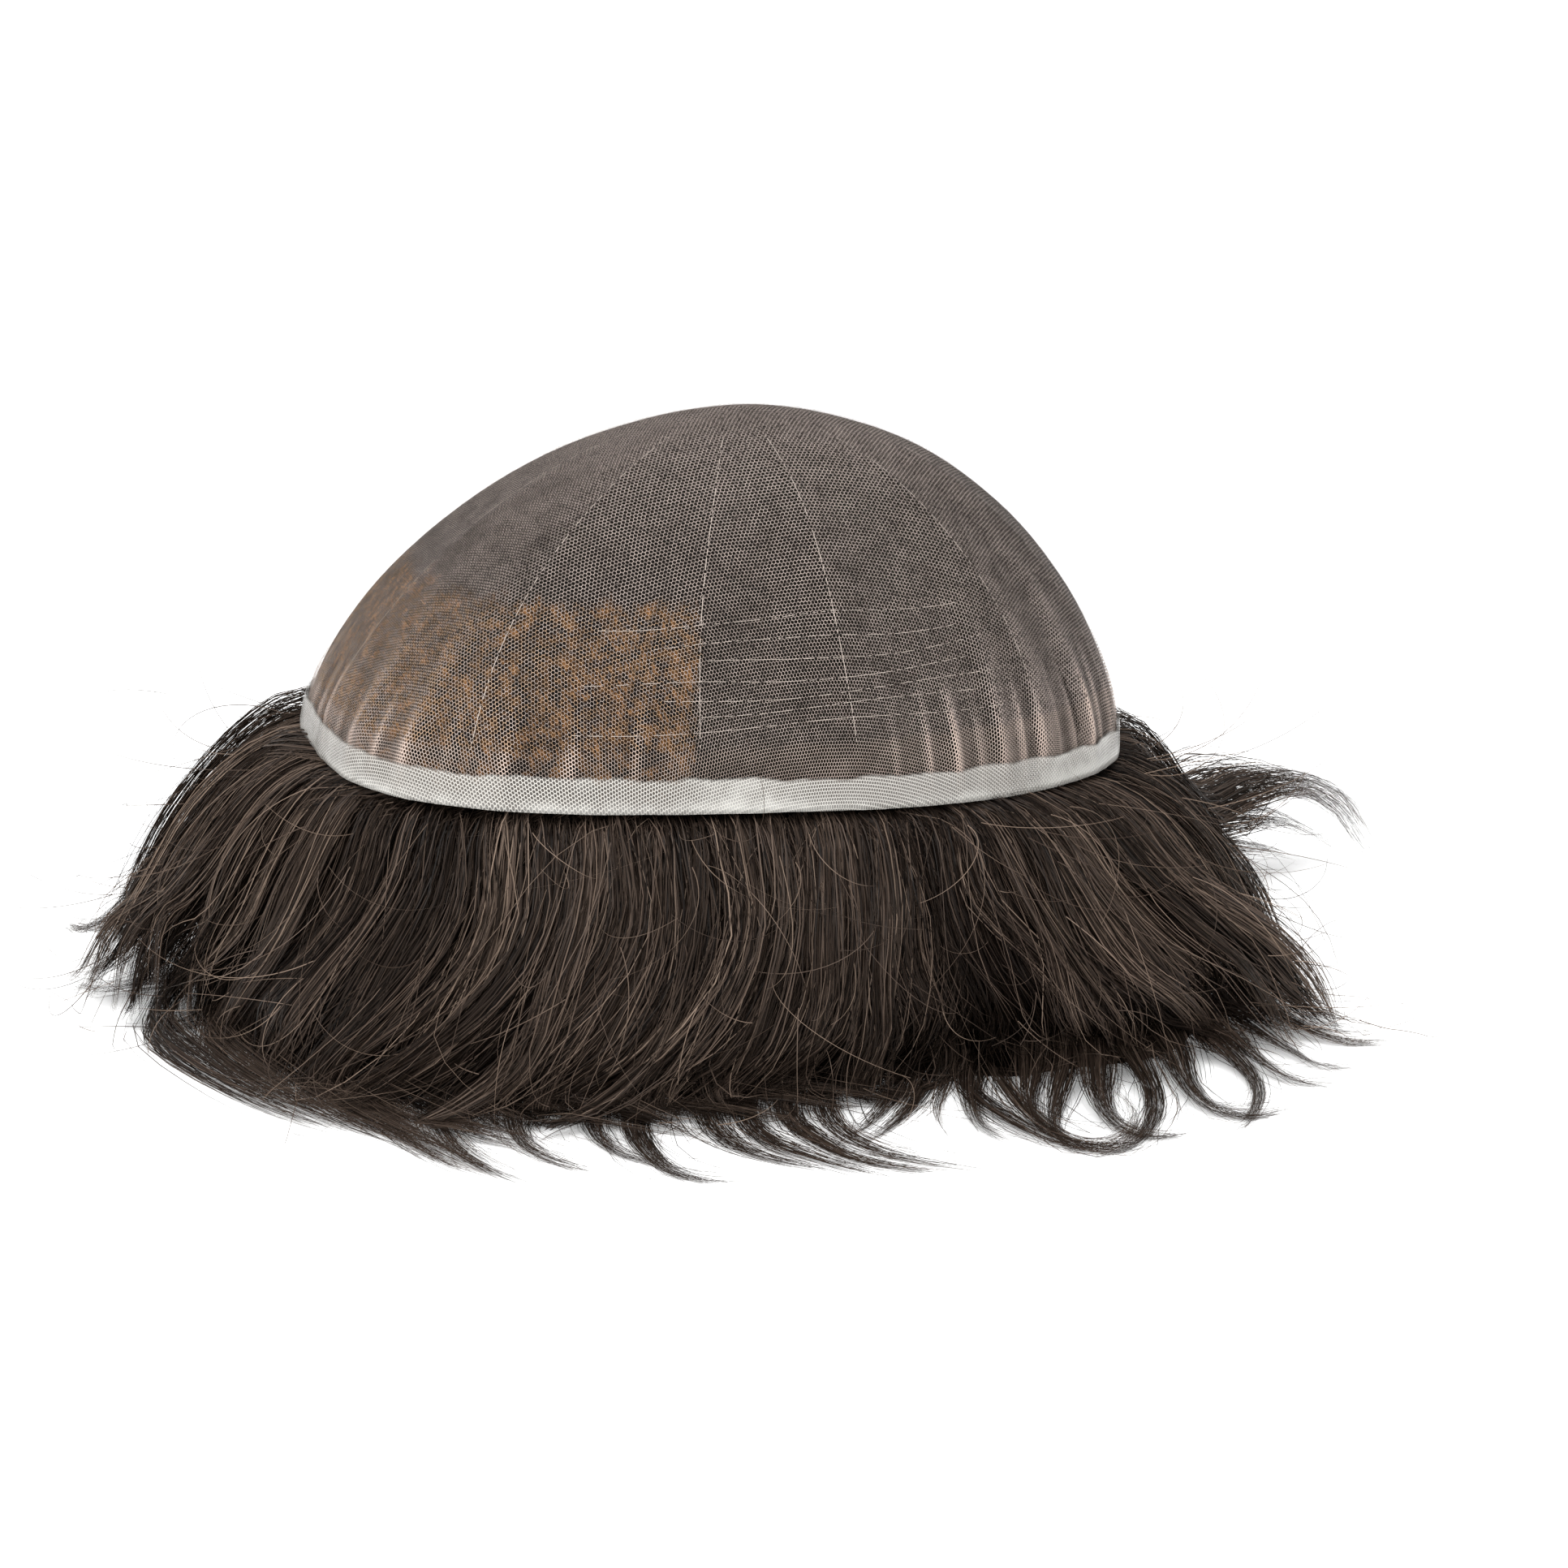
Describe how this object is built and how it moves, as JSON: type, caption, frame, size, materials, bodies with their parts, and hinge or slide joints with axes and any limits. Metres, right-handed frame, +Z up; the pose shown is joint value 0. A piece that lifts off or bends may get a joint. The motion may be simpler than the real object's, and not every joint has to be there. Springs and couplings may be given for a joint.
{
  "type": "toupee hairpiece",
  "caption": "Lace-base toupee turned inside out on a table: a net dome with a clear coated edge over dark hair that spreads round it in curved locks.",
  "frame": {"origin": "middle of the footprint of the whole piece, on the table that it lies on", "axes": "+Z up through the crown of the dome, -X towards the front hairline, +X towards the back of the base"},
  "size_m": [0.3332, 0.256, 0.14],
  "materials": {
    "lace": "fine hexagonal net of beige thread, matt, see-through",
    "coating": "clear to milky coated lace, satin",
    "root_hair": "dense knotted hair roots, dark brown, matt",
    "hair": "wavy human hair, darkest brown, soft sheen"
  },
  "bodies": {
    "root": {"lace_base": "lace", "perimeter_band": "coating", "crown_hair": "root_hair", "front_hair": "hair", "left_side_hair": "hair", "back_hair": "hair", "right_side_hair": "hair"}
  },
  "joints": []
}
